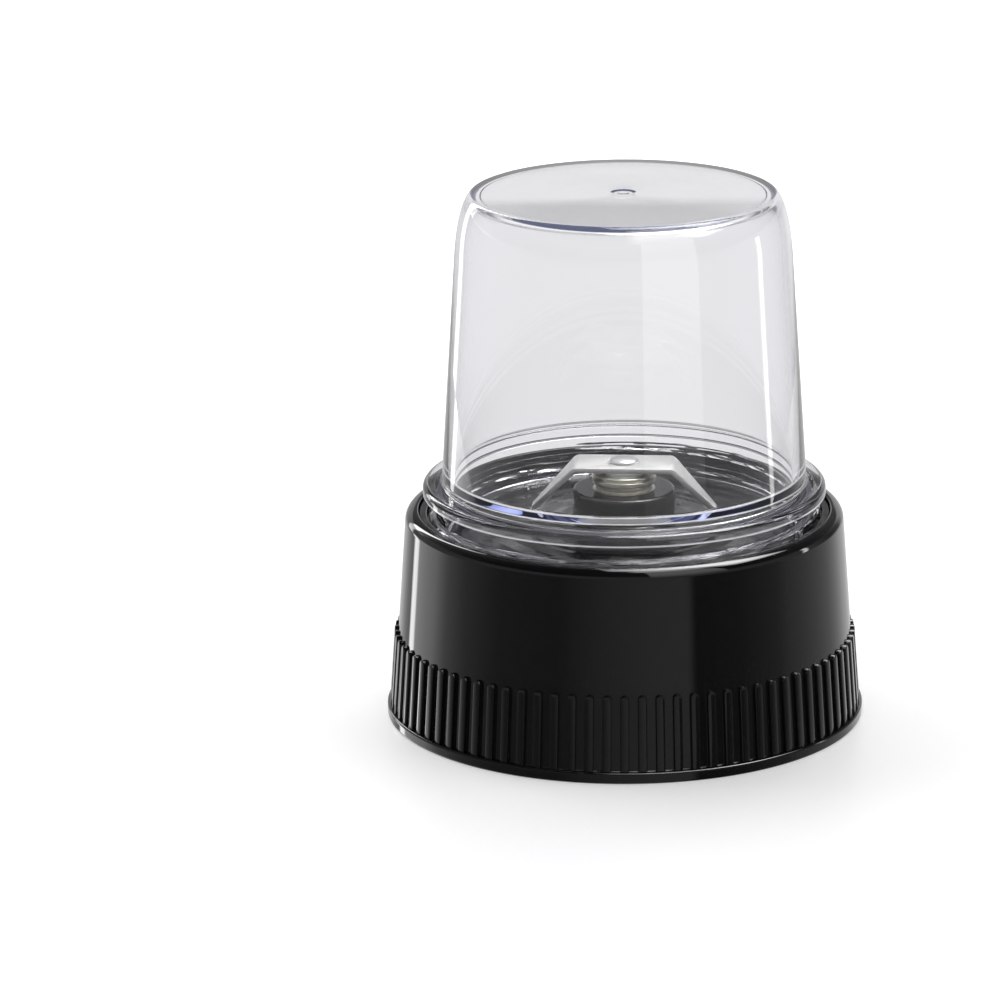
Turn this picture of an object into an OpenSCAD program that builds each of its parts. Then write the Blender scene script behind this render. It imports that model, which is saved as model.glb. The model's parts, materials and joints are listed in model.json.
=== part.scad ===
// Spice and coffee grinding head: a clear screw-on jar over a ribbed black collar that
// carries the blade unit and stands on a separate motor base.
// Frame: Z up, the origin on the turning axis in the plane the collar stands on. Millimetres.

/* [Collar shell] */
// Height of the collar
collar_h = 44.1; // [40:0.1:52]
// Width of the flat rim on top of the collar
rim_w = 2.6; // [2:0.1:4]
// Rounding of the rim's outer edge
rim_round = 2.2; // [0.5:0.1:2.4]
// How much wider the wall is at the foot than at the rim
collar_spread = 3.2; // [1.5:0.1:6]
// Wall thickness of the collar shell
shell_wall = 2.6; // [1.8:0.1:3]
// How far the foot band stands out from the wall
foot_proud = 1.2; // [0.9:0.1:2]
// Height of the foot band
foot_h = 2.3; // [1.5:0.1:4]
// Number of grip ribs
rib_count = 84; // [48:2:96]
// Width of a grip rib
rib_w = 1.8; // [1:0.1:2]
// How far a grip rib stands out from the wall
rib_proud = 0.8; // [0.4:0.1:0.9]
// Length of a grip rib above the foot band
rib_len = 15.8; // [8:0.1:24]

/* [Threaded sleeve] */
// Depth from the rim down to the ledge that the blade carrier stands on
seat_depth = 10.6; // [9.6:0.1:12]
// How far the sleeve's top stays below the rim
sleeve_drop = 0.7; // [0.3:0.1:1.5]
// Wall thickness of the sleeve behind its thread
sleeve_wall = 1.6; // [1.2:0.1:2.5]
// Thickness of the ledge
ledge_t = 2.2; // [1.5:0.1:4]
// How far the ledge reaches in under the carrier's rim, at least
ledge_w = 2.8; // [2:0.1:4]
// Radius of the bore that drops over the motor base
dock_r = 36; // [34:0.1:36.2]
// Length of the bore's locating land
dock_len = 7; // [5:0.1:7.4]
// Wall thickness of the sleeve's lower tube
tube_wall = 2.2; // [2:0.1:2.4]
// Recess of the bottom plate above the foot
plate_recess = 1.5; // [0.5:0.1:3]
// Thickness of the bottom plate
plate_t = 2.5; // [2:0.1:4]
// Number of bayonet grooves
groove_count = 3; // [2:1:4]
// Width of a bayonet groove's mouth
groove_w = 10; // [6:0.5:12]
// Depth of a bayonet groove beyond the locating land
groove_deep = 1.5; // [1:0.1:1.6]
// Height of a bayonet groove's turning part
groove_h = 4; // [3:0.1:6]
// Angle of a bayonet groove's turning part
groove_turn = 32; // [20:1:45]
// Number of screws under the bottom plate
screw_count = 4; // [3:1:6]
// Radius of a shell screw's thread
screw_r = 1.5; // [1.2:0.1:1.6]
// Length of a shell screw
screw_len = 12; // [8:0.5:16]

/* [Jar] */
// Height of the jar, skirt included
jar_h = 72.4; // [60:0.1:100]
// Wall thickness of the cup
jar_wall = 2.2; // [1.6:0.1:2.6]
// Thickness of the cup's closed end
jar_top_t = 2.4; // [1.8:0.1:4]
// Outer radius of the cup just above its flange
cup_r = 38; // [37:0.1:38.4]
// Slope of the cup's wall, in degrees
cup_draft = 3.67; // [1:0.01:6]
// Height of the rounded shoulder
shoulder_h = 12; // [6:0.1:18]
// How far the shoulder draws in
shoulder_in = 3; // [2:0.1:8]
// Outer radius of the flange
flange_r = 42; // [41.4:0.1:42.5]
// Thickness of the flange
flange_t = 2.5; // [2:0.1:4]
// Rounding between the cup and its flange
foot_fillet = 2.6; // [1.5:0.1:3]
// Outer radius of the skirt that screws into the collar
skirt_r = 39.4; // [38.8:0.1:40]
// Wall thickness of the skirt
skirt_wall = 2; // [1.6:0.1:2.4]
// Length of the skirt below the flange
skirt_h = 8.6; // [7.5:0.1:12]
// Radius of the gate mark on the cup's end
gate_r = 2.65; // [1.5:0.05:4]

/* [Jar thread] */
// Rise of the thread in one turn
thread_lead = 4; // [3.8:0.1:5]
// Height of the thread's tooth
thread_h = 1.4; // [1:0.1:1.5]
// Width of the tooth at its foot
thread_foot_w = 2.2; // [1.6:0.1:2.4]
// Width of the tooth at its crest
thread_crest_w = 1; // [0.6:0.1:1.2]
// Radial clearance between a crest and the wall it faces
thread_gap = 0.4; // [0.3:0.05:0.6]
// Turns of thread on the jar
jar_turns = 1.3; // [1:0.05:1.4]
// Turns of thread in the collar
collar_turns = 1.4; // [1:0.05:1.45]

/* [Blade carrier] */
// Thickness of the carrier's rim, from the ledge to the seal
carrier_rim_t = 3.5; // [3:0.1:5]
// Radial clearance of the carrier in the collar
carrier_gap = 0.4; // [0.3:0.05:0.6]
// Wall thickness of the spigot that the seal sits round
spigot_wall = 1.6; // [1.2:0.1:2.4]
// Height of the floor above the seal's seat
floor_rise = 1.9; // [1.6:0.1:3]
// Thickness of the floor
floor_t = 2.2; // [1.6:0.1:3]
// Height of each of the floor's rings
ring_step = 0.5; // [0.3:0.1:0.8]
// Radii of the floor's rings
ring_radii = [28.7, 24.8, 18.7];
// Outer radius of the boss around the bearing
boss_r = 10.7; // [9.5:0.1:13]
// Height of the boss above the floor
boss_h = 8.7; // [6:0.1:12]
// Number of stiffening webs under the floor
web_count = 8; // [4:1:12]
// Thickness of a stiffening web
web_t = 1.6; // [1:0.1:2.5]

/* [Jar seal] */
// Thickness of the seal ring
seal_t = 1.8; // [1.2:0.1:3]
// Clearance of the seal ring around the carrier's spigot
seal_gap = 0.1; // [0.05:0.05:0.3]

/* [Bearing] */
// Radius of the drive shaft
shaft_r = 3; // [2.5:0.05:3.4]
// Running clearance of the shaft in its bushes
running_gap = 0.03; // [0.01:0.01:0.08]
// Wall thickness of the bushes
bush_wall = 1.97; // [1.6:0.01:2.5]
// Length of each bush
bush_len = 7; // [5:0.5:8]
// Length of the bearing housing
housing_len = 25.6; // [23:0.1:30]
// Wall thickness of the bearing housing
housing_wall = 1.5; // [1.2:0.1:2]
// Height of the shaft seal
lip_seal_h = 3; // [2.4:0.1:4]
// Depth of the shaft seal below the housing's top
lip_seal_depth = 0.8; // [0.5:0.1:2]
// Radius of the seal's garter spring wire coil
garter_r = 0.3; // [0.2:0.05:0.35]
// Thickness of the thrust washers
thrust_t = 0.4; // [0.3:0.05:0.8]
// End play of the shaft
end_play = 0.1; // [0.05:0.05:0.3]

/* [Blade] */
// Height of the metal hub cap under the blade
cap_h = 3; // [2:0.1:5]
// Outer radius of the hub cap
cap_r = 6.7; // [6.2:0.1:9]
// Thickness of the spacer between the hub cap and the blade
spacer_t = 1; // [0.6:0.1:2]
// Thickness of the blade
blade_t = 1.1; // [1:0.1:2]
// Width of the blade at its middle
blade_w = 10.6; // [9:0.1:14]
// Distance from the axis to a bend in the blade
bend_x = 9.6; // [8:0.1:13]
// Angle that the arms are bent down by, in degrees
arm_bend = 47; // [20:1:50]
// Distance from the axis to a blade tip
tip_x = 19.5; // [16:0.1:20.5]
// Width of a blade tip
tip_w = 2.8; // [2:0.1:8]
// Width of the ground edge on each arm
edge_w = 2.2; // [1:0.1:3]
// Turn of the blade about the axis at rest, in degrees
blade_turn = -3; // [-180:1:180]
// Height of the rivet head on top of the blade
head_h = 1.2; // [0.8:0.1:2]
// Radius of the rivet head
head_r = 3.1; // [2.8:0.1:4]

/* [Drive coupling] */
// Height of the coupling
coupling_h = 11.3; // [9:0.1:12]
// Radius over the coupling's teeth
coupling_r = 12; // [10.5:0.1:14]
// Radius at the roots of the coupling's teeth
coupling_root_r = 9.8; // [9:0.1:10]
// Number of coupling teeth
tooth_count = 12; // [6:1:16]
// Width of the coupling's hexagonal insert across its corners
insert_d = 13; // [12:0.1:14]
// Height of the coupling's insert
insert_h = 5.8; // [4:0.1:7]
// Thickness of the retaining clip
clip_t = 0.7; // [0.5:0.1:1]
// Height of the coupling screw's head
coupling_head_h = 2; // [1.5:0.1:2.2]

/* [Hidden] */

$fn = 96;
fit = 0.02;          // pieces of one body that are pressed or moulded together
slip = 0.2;          // pieces of one body that drop together
break_edge = 0.4;    // a moulded edge
bush_inset = 0.5;    // from the housing's lower end up to the lower bush
housing_flange_drop = 5;   // from the floor down to the underside of the housing's flange
clip_gap = 0.4;      // from the retaining clip down to the coupling
bite = 0.4;          // how deep a thread's foot stands in its wall
thread_steps = 60;   // straight pieces in one turn of thread
thread_fade = 8;     // pieces over which a thread's end grows to full height

// Radii, from the jar's skirt outwards
thread_crest_r = skirt_r + thread_h;
sleeve_minor_r = skirt_r + thread_gap;
sleeve_root_r = thread_crest_r + thread_gap;
sleeve_r = sleeve_root_r + sleeve_wall;
rim_bore_r = sleeve_r + slip;
rim_r = rim_bore_r + rim_w;
carrier_r = sleeve_minor_r - carrier_gap;
spigot_r = skirt_r - skirt_wall - 0.9;
relief_r = dock_r + 0.6;
tube_r = relief_r + tube_wall;
ledge_r = min(relief_r, carrier_r - ledge_w);
screw_boss_r = 3;
foot_wall_r = max(rim_r + collar_spread, tube_r + 2 * (screw_boss_r + slip) + shell_wall);
foot_r = foot_wall_r + foot_proud;

// Heights, from the ledge upwards
ledge_z = collar_h - seat_depth;
seal_z = ledge_z + carrier_rim_t;
jar_z = seal_z + seal_t;
flange_z = jar_z + skirt_h;
flange_top = flange_z + flange_t;
jar_top = jar_z + jar_h;
shoulder_z = jar_top - shoulder_h;
thread_z = jar_z + thread_foot_w / 2 + 0.3;
floor_z = seal_z + floor_rise;
boss_top = floor_z + boss_h;

// The blade stack, from the boss upwards
cap_z = boss_top + thrust_t;
spacer_z = cap_z + cap_h;
blade_z = spacer_z + spacer_t;
blade_top = blade_z + blade_t;
neck_r = shaft_r - 0.6;

// The bearing, from the boss downwards
bush_r = shaft_r + running_gap + bush_wall;
housing_bore_r = bush_r + fit;
housing_r = housing_bore_r + housing_wall;
housing_z = boss_top - housing_len;
housing_flange_z = floor_z - housing_flange_drop;
lip_seal_z = boss_top - lip_seal_depth - lip_seal_h;
upper_bush_z = lip_seal_z - bush_len;
lower_bush_z = housing_z + bush_inset;
washer_z = housing_z - end_play - thrust_t;
clip_z = washer_z - clip_t;
clip_groove = 0.4;

// The coupling, from the clip downwards
coupling_top = clip_z - clip_gap;
coupling_z = coupling_top - coupling_h;
insert_z = coupling_top - insert_h;
insert_web = 1;
shaft_z = insert_z + insert_web + 0.1;
stub_r = 1.5;
stub_len = 8;
washer_t = 0.7;
flat_x = shaft_r - 0.5;

function arc(x, y, r, from, to, steps = 6) =
    [for (i = [0:steps]) let (a = from + (to - from) * i / steps) [x + r * cos(a), y + r * sin(a)]];

function wall_r(z) = rim_r + (foot_wall_r - rim_r) * (collar_h - z) / collar_h;
function cup_outer_r(z) = cup_r - (z - flange_top) * tan(cup_draft);

module turned(points) {
    rotate_extrude() polygon(points);
}

module tube(outer_r, inner_r, h) {
    difference() {
        cylinder(r = outer_r, h = h);
        translate([0, 0, -1]) cylinder(r = inner_r, h = h + 2);
    }
}

module around(count, start = 0) {
    for (i = [0:count - 1]) rotate(start + 360 * i / count) children();
}

// One helical tooth on a wall. It grows out of the wall at both ends.
module thread_tooth(face_r, tip_r, z, turns) {
    out = tip_r > face_r ? 1 : -1;
    steps = ceil(turns * thread_steps);
    foot = face_r - out * bite;
    low = face_r - out * bite / 4;
    sections = [for (i = [0:steps])
        let (
            a = 360 * turns * i / steps,
            mid = z + thread_lead * turns * i / steps,
            grow = min(1, i / thread_fade, (steps - i) / thread_fade),
            r = low + (tip_r - low) * grow,
            side = [
                [foot, -thread_foot_w / 2],
                [r, -thread_crest_w / 2],
                [r, thread_crest_w / 2],
                [foot, thread_foot_w / 2]
            ]
        )
        [for (p = side) [p[0] * cos(a), p[0] * sin(a), mid + p[1]]]];
    walls = [for (i = [0:steps - 1], k = [0:3])
        let (a = 4 * i + k, b = 4 * i + (k + 1) % 4)
        [a, b, b + 4, a + 4]];
    last = 4 * steps;
    faces = concat(walls, [[3, 2, 1, 0], [last, last + 1, last + 2, last + 3]]);
    turned_out = out > 0 ? faces : [for (f = faces) [for (k = [len(f) - 1:-1:0]) f[k]]];
    polyhedron([for (s = sections, p = s) p], turned_out, convexity = 6);
}

// ---- Collar ----

groove_step = 0.5;   // from the locating land up to a bayonet groove's turning part
plate_top = plate_recess + plate_t;
plate_r = wall_r(plate_top) - shell_wall - slip;
boss_reach_r = (tube_r + wall_r(plate_top) - shell_wall) / 2;
screw_boss_h = 1.5 * screw_len;
screw_start = 180 / screw_count;

module shell_wall_ring() {
    inner_top = collar_h - seat_depth * 0.6;
    turned(concat(
        [[rim_bore_r, collar_h]],
        arc(rim_r - rim_round, collar_h - rim_round, rim_round, 90, 0),
        [
            [wall_r(foot_h), foot_h],
            [foot_r - break_edge, foot_h],
            [foot_r, foot_h - break_edge],
            [foot_r, break_edge],
            [foot_r - break_edge, 0],
            [wall_r(0) - shell_wall, 0],
            [max(rim_bore_r, wall_r(inner_top) - shell_wall), inner_top - 3],
            [rim_bore_r, inner_top]
        ]
    ));
}

module grip_ribs() {
    rib_top = foot_h + rib_len;
    intersection() {
        turned([
            [wall_r(0) - shell_wall / 2, foot_h - break_edge],
            [wall_r(foot_h) + rib_proud, foot_h - break_edge],
            [wall_r(rib_top) + rib_proud, rib_top],
            [wall_r(rib_top) - shell_wall / 2, rib_top]
        ]);
        around(rib_count)
            translate([rim_r - shell_wall / 2, 0, 0])
                rotate([90, 0, 90])
                    linear_extrude(collar_spread + shell_wall)
                        union() {
                            translate([-rib_w / 2, 0]) square([rib_w, rib_top - rib_w / 2]);
                            translate([0, rib_top - rib_w / 2]) circle(r = rib_w / 2);
                        }
    }
}

module screw_bosses() {
    intersection() {
        around(screw_count, screw_start)
            translate([boss_reach_r, 0, plate_top]) {
                cylinder(r = screw_boss_r, h = screw_boss_h);
                translate([0, -web_t / 2, 0]) cube([foot_r, web_t, screw_boss_h]);
            }
        turned([
            [0, 0],
            [wall_r(0) - shell_wall / 2, 0],
            [wall_r(collar_h) - shell_wall / 2, collar_h],
            [0, collar_h]
        ]);
    }
}

module outer_shell() {
    color("#17171a")
        difference() {
            union() {
                shell_wall_ring();
                grip_ribs();
                screw_bosses();
            }
            around(screw_count, screw_start)
                translate([boss_reach_r, 0, plate_top - 1])
                    cylinder(r = screw_r + fit, h = screw_len);
        }
}

module bayonet_grooves() {
    turn_z = plate_recess + dock_len + groove_step;
    top_z = turn_z + groove_h;
    intersection() {
        translate([0, 0, -1]) cylinder(r = dock_r + groove_deep, h = top_z + 1);
        around(groove_count) {
            translate([0, -groove_w / 2, -1]) cube([foot_r, groove_w, top_z + 2]);
            translate([0, 0, turn_z])
                rotate_extrude(angle = groove_turn)
                    translate([dock_r / 2, 0]) square([foot_r - dock_r / 2, groove_h + 1]);
        }
    }
}

module inner_sleeve() {
    color("#222225")
        difference() {
            union() {
                turned([
                    [sleeve_root_r, collar_h - sleeve_drop],
                    [sleeve_r, collar_h - sleeve_drop],
                    [sleeve_r, ledge_z - ledge_t],
                    [tube_r, ledge_z - ledge_t - 1],
                    [tube_r, plate_top],
                    [plate_r, plate_top],
                    [plate_r, plate_recess],
                    [dock_r + break_edge, plate_recess],
                    [dock_r, plate_recess + break_edge],
                    [dock_r, plate_recess + dock_len],
                    [relief_r, plate_recess + dock_len],
                    if (ledge_r < relief_r) [relief_r, ledge_z - ledge_t],
                    if (ledge_r < relief_r) [ledge_r, ledge_z - ledge_t],
                    [ledge_r, ledge_z],
                    [sleeve_root_r, ledge_z]
                ]);
                // Half a turn round and a whole lead down puts it midway between the jar's turns.
                rotate(180)
                    thread_tooth(sleeve_root_r, sleeve_minor_r, thread_z - thread_lead, collar_turns);
            }
            bayonet_grooves();
            around(screw_count, screw_start)
                translate([boss_reach_r, 0, plate_recess]) {
                    translate([0, 0, -1]) cylinder(r = screw_r + slip, h = plate_t + 2);
                    translate([0, 0, -fit]) cylinder(r1 = 2 * screw_r, r2 = screw_r, h = screw_r);
                }
        }
}

module shell_screws() {
    drive_deep = screw_r * 0.7;
    color("silver")
        around(screw_count, screw_start)
            translate([boss_reach_r, 0, plate_recess])
                difference() {
                    union() {
                        cylinder(r1 = 2 * screw_r - 0.1, r2 = screw_r - 0.1, h = screw_r);
                        cylinder(r = screw_r, h = screw_len);
                    }
                    for (a = [0, 90])
                        rotate(a)
                            translate([-screw_r, -screw_r / 5, -1])
                                cube([2 * screw_r, screw_r / 2.5, 1 + drive_deep]);
                }
}

// ---- Blade carrier ----

module housing_outline(gap) {
    flange_grow = 1.5;
    polygon([
        [0, housing_z],
        [housing_r + gap, housing_z],
        [housing_r + gap, housing_flange_z - gap],
        [housing_r + flange_grow + gap, housing_flange_z - gap],
        [housing_r + flange_grow + gap, housing_flange_z + 2 + gap],
        [housing_r + gap, housing_flange_z + 2 + gap],
        [housing_r + gap, boss_top],
        [0, boss_top]
    ]);
}

module blade_carrier() {
    rim_inner_r = spigot_r - spigot_wall;
    hub_r = housing_r + 3;
    ring_steps = [for (i = [0:len(ring_radii) - 1]) each [
        [ring_radii[i], floor_z + ring_step * i],
        [ring_radii[i] - ring_step, floor_z + ring_step * (i + 1)]
    ]];
    floor_top = floor_z + ring_step * len(ring_radii);
    color("#1b1b1e")
        difference() {
            union() {
                turned(concat(
                    [
                        [rim_inner_r, ledge_z],
                        [carrier_r - break_edge, ledge_z],
                        [carrier_r, ledge_z + break_edge],
                        [carrier_r, seal_z],
                        [spigot_r, seal_z],
                        [spigot_r, floor_z + break_edge],
                        [spigot_r - break_edge, floor_z + 2 * break_edge],
                        [spigot_r - 3 * break_edge, floor_z]
                    ],
                    ring_steps,
                    [
                        [boss_r + 1, floor_top],
                        [boss_r, floor_top + 1],
                        [boss_r, boss_top - 0.6],
                        [boss_r - 0.6, boss_top],
                        [housing_r - 1, boss_top],
                        [housing_r - 1, housing_z],
                        [hub_r, housing_z],
                        [hub_r + 0.6, floor_z - floor_t],
                        [rim_inner_r, floor_z - floor_t]
                    ]
                ));
                around(web_count, 180 / web_count)
                    rotate([90, 0, 0])
                        translate([0, 0, -web_t / 2])
                            linear_extrude(web_t)
                                polygon([
                                    [housing_r + 1, housing_z + 3],
                                    [hub_r + 1, housing_z + 3],
                                    [rim_inner_r + 1, ledge_z + 1],
                                    [rim_inner_r + 1, floor_z - floor_t + 1],
                                    [housing_r + 1, floor_z - floor_t + 1]
                                ]);
            }
            rotate_extrude() housing_outline(fit);
            translate([0, 0, housing_z - 1]) cylinder(r = housing_r + fit, h = housing_len + 2);
        }
}

module jar_seal() {
    lip = seal_t / 4;
    color("#d9d6cf")
        turned([
            [spigot_r + seal_gap, seal_z],
            [carrier_r - 0.1, seal_z],
            [carrier_r - 0.1, jar_z - lip],
            [carrier_r - 0.1 - lip, jar_z],
            [spigot_r + seal_gap + lip, jar_z],
            [spigot_r + seal_gap, jar_z - lip]
        ]);
}

module bearing_housing() {
    color("#b9bcc0")
        difference() {
            rotate_extrude() housing_outline(0);
            translate([0, 0, housing_z - 1]) cylinder(r = housing_bore_r, h = housing_len + 2);
        }
}

module bush(z) {
    edge = 0.3;
    inner_r = shaft_r + running_gap;
    color("#9a7b4f")
        difference() {
            turned([
                [0, z],
                [bush_r - edge, z],
                [bush_r, z + edge],
                [bush_r, z + bush_len - edge],
                [bush_r - edge, z + bush_len],
                [0, z + bush_len]
            ]);
            translate([0, 0, z - 1]) cylinder(r = inner_r, h = bush_len + 2);
        }
}

module upper_bush() {
    bush(upper_bush_z);
}

module lower_bush() {
    bush(lower_bush_z);
}

module oil_felt() {
    felt_z = lower_bush_z + bush_len;
    color("#c8b98f")
        translate([0, 0, felt_z]) tube(bush_r, shaft_r + 0.1, upper_bush_z - felt_z);
}

module shaft_seal() {
    lip_r = shaft_r + running_gap;
    lip_wall = 0.5;
    case_wall = 0.6;
    web = 0.8;
    color("#2b2b2b")
        turned([
            [lip_r, lip_seal_z],
            [bush_r, lip_seal_z],
            [bush_r, lip_seal_z + lip_seal_h],
            [bush_r - case_wall, lip_seal_z + lip_seal_h],
            [bush_r - case_wall, lip_seal_z + web],
            [lip_r + lip_wall, lip_seal_z + web],
            [lip_r + lip_wall, lip_seal_z + lip_seal_h - 0.4],
            [lip_r, lip_seal_z + lip_seal_h - 0.4]
        ]);
}

module garter_spring() {
    ring_r = shaft_r + running_gap + 0.5 + garter_r + fit;
    color("silver")
        translate([0, 0, lip_seal_z + lip_seal_h / 2 + garter_r])
            rotate_extrude()
                translate([ring_r, 0]) circle(r = garter_r, $fn = 24);
}

module thrust_washer(z) {
    color("#e8e4d8")
        translate([0, 0, z]) tube(housing_r - 0.6, shaft_r + 0.1, thrust_t);
}

module upper_thrust_washer() {
    thrust_washer(boss_top);
}

// ---- Rotor ----

module shaft_flat(z, h) {
    translate([flat_x, -shaft_r, z]) cube([shaft_r, 2 * shaft_r, h]);
}

module drive_shaft() {
    flat_h = coupling_top - shaft_z;
    neck_flat = neck_r - 0.6;
    color("#c9ccd0")
        difference() {
            union() {
                turned([
                    [0, shaft_z],
                    [shaft_r - 0.4, shaft_z],
                    [shaft_r, shaft_z + 0.4],
                    [shaft_r, clip_z],
                    [shaft_r - clip_groove, clip_z],
                    [shaft_r - clip_groove, clip_z + clip_t],
                    [shaft_r, clip_z + clip_t],
                    [shaft_r, spacer_z],
                    [neck_r, spacer_z],
                    [neck_r, blade_top],
                    [0, blade_top]
                ]);
                turned(concat(
                    [[0, blade_top], [head_r, blade_top]],
                    [for (i = [0:6]) let (a = 15 * i)
                        [head_r * cos(a), blade_top + 0.3 + (head_h - 0.3) * sin(a)]]
                ));
            }
            shaft_flat(shaft_z - 1, flat_h + 1);
            translate([0, 0, shaft_z - 1]) cylinder(r = stub_r + fit, h = 1 + stub_len);
            rotate(blade_turn)
                for (side = [-1, 1])
                    translate([-neck_r, side * (neck_flat + neck_r) - neck_r, spacer_z])
                        cube([2 * neck_r, 2 * neck_r, spacer_t + blade_t]);
        }
}

module hub_cap() {
    line_z = cap_z + cap_h * 0.7;
    line_w = 0.3;
    upper_r = cap_r - 0.5;
    color("#d8d8c8")
        difference() {
            turned([
                [0, cap_z],
                [cap_r - 1.4, cap_z],
                [cap_r - 0.4, cap_z + 0.5],
                [cap_r, cap_z + 1.2],
                [cap_r, line_z],
                [upper_r - 0.3, line_z],
                [upper_r - 0.3, line_z + line_w],
                [upper_r, line_z + line_w],
                [upper_r, spacer_z - 0.3],
                [upper_r - 0.3, spacer_z],
                [0, spacer_z]
            ]);
            translate([0, 0, cap_z - 1]) cylinder(r = shaft_r + fit, h = cap_h + 2);
        }
}

module neck_hole(z, h) {
    across = neck_r - 0.6 + fit;
    intersection() {
        translate([0, 0, z]) cylinder(r = neck_r + fit, h = h);
        rotate(blade_turn)
            translate([-2 * neck_r, -across, z]) cube([4 * neck_r, 2 * across, h]);
    }
}

module blade_spacer() {
    color("#55565a")
        difference() {
            translate([0, 0, spacer_z]) cylinder(r = cap_r - 1.4, h = spacer_t);
            neck_hole(spacer_z - 1, spacer_t + 2);
        }
}

// One half of the blade seen from the side, with the bend rounded.
function half_side() =
    let (
        bend_r = 0.8,
        lower = arc(bend_x, blade_z - bend_r, bend_r, 90, 90 - arm_bend),
        upper = arc(bend_x, blade_z - bend_r, bend_r + blade_t, 90 - arm_bend, 90),
        run = (tip_x - upper[0][0]) / cos(arm_bend),
        reach = [run * cos(arm_bend), -run * sin(arm_bend)]
    )
    concat(
        [[-0.1, blade_z]],
        lower,
        [lower[len(lower) - 1] + reach, upper[0] + reach],
        upper,
        [[-0.1, blade_top]]
    );

// The bevel ground on the leading edge of an arm.
module arm_edge() {
    taper = atan((blade_w - tip_w) / 2 / (tip_x - bend_x));
    grind = atan(blade_t * 0.8 / edge_w);
    translate([bend_x + 1, -blade_w / 2 + edge_w, blade_top])
        rotate([0, arm_bend, 0])
            rotate([0, 0, taper])
                rotate([-grind, 0, 0])
                    translate([0, -3 * edge_w, 0])
                        cube([2 * tip_x, 3 * edge_w, 3 * blade_t]);
}

module arm_half() {
    difference() {
        intersection() {
            rotate([90, 0, 0])
                translate([0, 0, -blade_w]) linear_extrude(2 * blade_w) polygon(half_side());
            translate([0, 0, blade_top - tip_x])
                linear_extrude(tip_x + 1)
                    polygon([
                        [-0.1, -blade_w / 2],
                        [bend_x, -blade_w / 2],
                        [tip_x, -tip_w / 2],
                        [tip_x, tip_w / 2],
                        [bend_x, blade_w / 2],
                        [-0.1, blade_w / 2]
                    ]);
        }
        arm_edge();
    }
}

module blade() {
    color("#e4e4e0")
        difference() {
            rotate(blade_turn) {
                arm_half();
                rotate(180) arm_half();
            }
            neck_hole(blade_z - 1, blade_t + 2);
        }
}

module lower_thrust_washer() {
    thrust_washer(washer_z);
}

module retaining_clip() {
    mouth = 70;
    color("#3a3a3c")
        translate([0, 0, clip_z])
            rotate(mouth / 2)
                rotate_extrude(angle = 360 - mouth)
                    translate([shaft_r - clip_groove + fit, 0]) square([2.4, clip_t]);
}

// ---- Coupling ----

module insert_body(gap) {
    translate([0, 0, insert_z]) cylinder(r = insert_d / 2 + gap, h = insert_h, $fn = 6);
}

module coupling_insert() {
    color("#b08d57")
        difference() {
            insert_body(0);
            difference() {
                translate([0, 0, insert_z + insert_web]) cylinder(r = shaft_r + fit, h = insert_h);
                translate([flat_x + fit, -shaft_r - 1, insert_z])
                    cube([shaft_r, 2 * shaft_r + 2, insert_h + 1]);
            }
            translate([0, 0, insert_z - 1]) cylinder(r = stub_r + slip, h = insert_web + 2);
        }
}

module drive_coupling() {
    pitch = 360 / tooth_count;
    pocket_r = stub_r * 2 + 1.4;
    flange_h = 2.4;
    star = [for (i = [0:tooth_count - 1]) each [
        for (p = [
            [coupling_root_r, -0.30],
            [coupling_r, -0.17],
            [coupling_r, 0.17],
            [coupling_root_r, 0.30]
        ])
        let (a = pitch * (i + p[1])) [p[0] * cos(a), p[0] * sin(a)]
    ]];
    color("#26262a")
        difference() {
            union() {
                translate([0, 0, coupling_z]) linear_extrude(coupling_h - flange_h / 2) polygon(star);
                translate([0, 0, coupling_top - flange_h]) cylinder(r = coupling_r + 0.6, h = flange_h);
            }
            insert_body(fit);
            translate([0, 0, coupling_z - 1]) cylinder(r = pocket_r, h = coupling_h - insert_h + 1);
        }
}

module coupling_washer() {
    color("silver")
        translate([0, 0, insert_z - washer_t]) tube(2 * stub_r + 0.4, stub_r + slip, washer_t);
}

module coupling_screw() {
    head_z = insert_z - washer_t - coupling_head_h;
    color("silver")
        difference() {
            union() {
                translate([0, 0, head_z]) cylinder(r = 2 * stub_r - 0.2, h = coupling_head_h);
                translate([0, 0, head_z]) cylinder(r = stub_r, h = coupling_head_h + stub_len);
            }
            translate([0, 0, head_z - 1])
                cylinder(r = stub_r, h = 1 + coupling_head_h * 0.6, $fn = 6);
        }
}

// ---- Jar ----

// The shoulder leans with the wall, so that it starts without a crease.
function shoulder(inset, top_z) = [for (i = [0:10])
    let (
        a = 9 * i,
        z = shoulder_z + (top_z - shoulder_z) * sin(a)
    )
    [cup_outer_r(z) - inset - shoulder_in * (1 - cos(a)), z]];

function turned_back(points) = [for (i = [len(points) - 1:-1:0]) points[i]];

function gate_mark() = [
    [gate_r, jar_top],
    [gate_r * 0.8, jar_top - 0.5],
    [gate_r * 0.38, jar_top - 0.5],
    [gate_r * 0.38, jar_top - 0.15],
    [0, jar_top - 0.15]
];

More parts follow.
